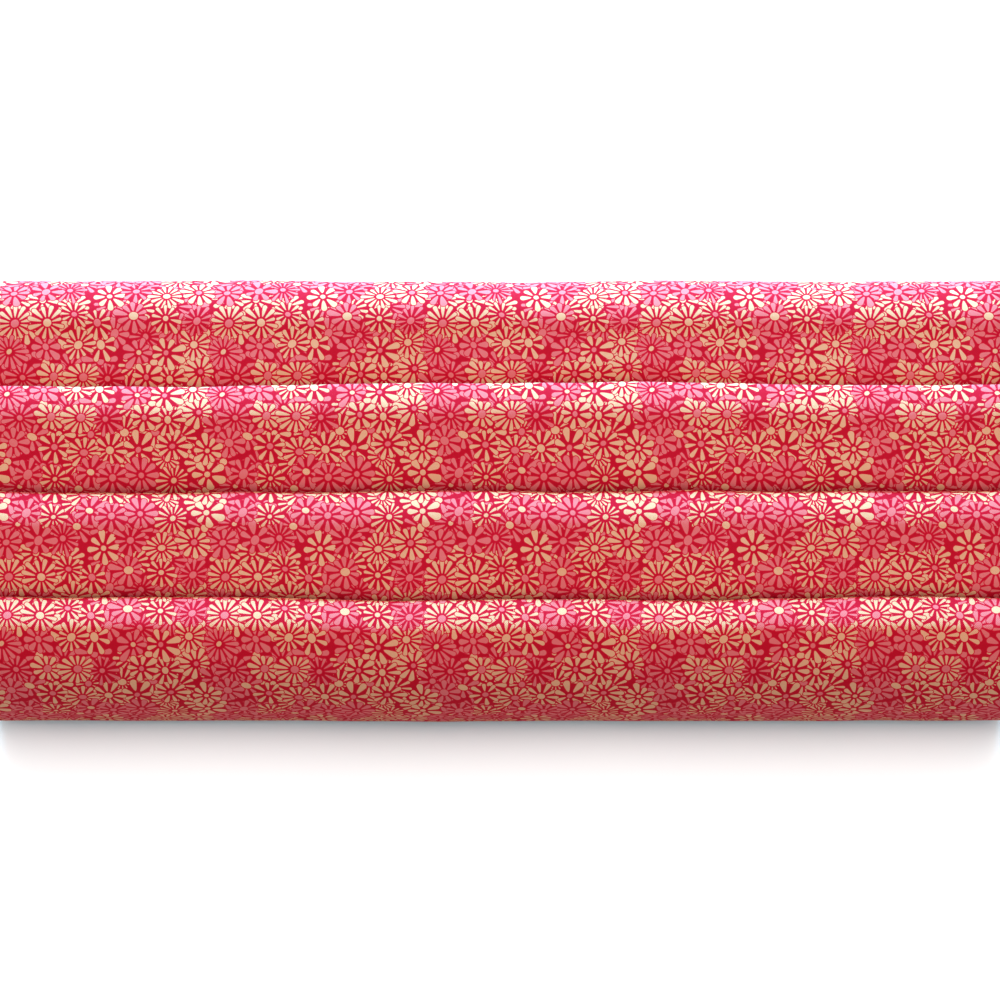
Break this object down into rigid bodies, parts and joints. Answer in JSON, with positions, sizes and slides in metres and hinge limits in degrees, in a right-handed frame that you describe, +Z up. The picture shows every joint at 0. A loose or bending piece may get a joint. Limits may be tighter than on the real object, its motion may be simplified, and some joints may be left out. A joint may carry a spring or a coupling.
{
  "type": "fabric bolt",
  "caption": "Bolt of printed quilting cotton lying flat on a board core, its outer length laid in three soft pleats and hanging over the front edge.",
  "frame": {"origin": "centre of the flat underside that the bolt rests on", "axes": "+X along the core, +Y to the back long edge, +Z up from the floor"},
  "size_m": [0.5855, 0.2444, 0.07],
  "materials": {
    "core_sleeve": "matte kraft board",
    "core_rib_front": "matte kraft board",
    "core_rib_back": "matte kraft board",
    "end_flap_left": "matte kraft board",
    "end_flap_right": "matte kraft board",
    "end_label": "matte uncoated paper",
    "wound_cloth": "printed plain-weave cotton",
    "tier_1_cloth": "printed plain-weave cotton",
    "pleat_2": "printed plain-weave cotton",
    "pleat_3": "printed plain-weave cotton",
    "pleat_4": "printed plain-weave cotton",
    "free_end": "printed plain-weave cotton"
  },
  "bodies": {
    "bolt": {"core_sleeve": "core_sleeve", "core_rib_front": "core_rib_front", "core_rib_back": "core_rib_back", "wound_cloth": "wound_cloth", "tier_1_cloth": "tier_1_cloth", "pleat_2": "pleat_2", "pleat_3": "pleat_3", "pleat_4": "pleat_4"},
    "left_flap": {"end_flap_left": "end_flap_left"},
    "right_flap": {"end_flap_right": "end_flap_right", "end_label": "end_label"},
    "free_end": {"free_end": "free_end"}
  },
  "joints": [
    {"name": "end_flap_left_hinge", "type": "hinge", "parent": "bolt", "child": "left_flap", "pos_m": [-0.29015, 0, 0.0168], "axis": [0, -1, 0], "range_deg": [0, 110]},
    {"name": "end_flap_right_hinge", "type": "hinge", "parent": "bolt", "child": "right_flap", "pos_m": [0.29015, 0, 0.0168], "axis": [0, 1, 0], "range_deg": [0, 110]},
    {"name": "free_end_lift", "type": "hinge", "parent": "bolt", "child": "free_end", "pos_m": [0, -0.09983, 0.063], "axis": [-1, 0, 0], "range_deg": [0, 120]}
  ]
}
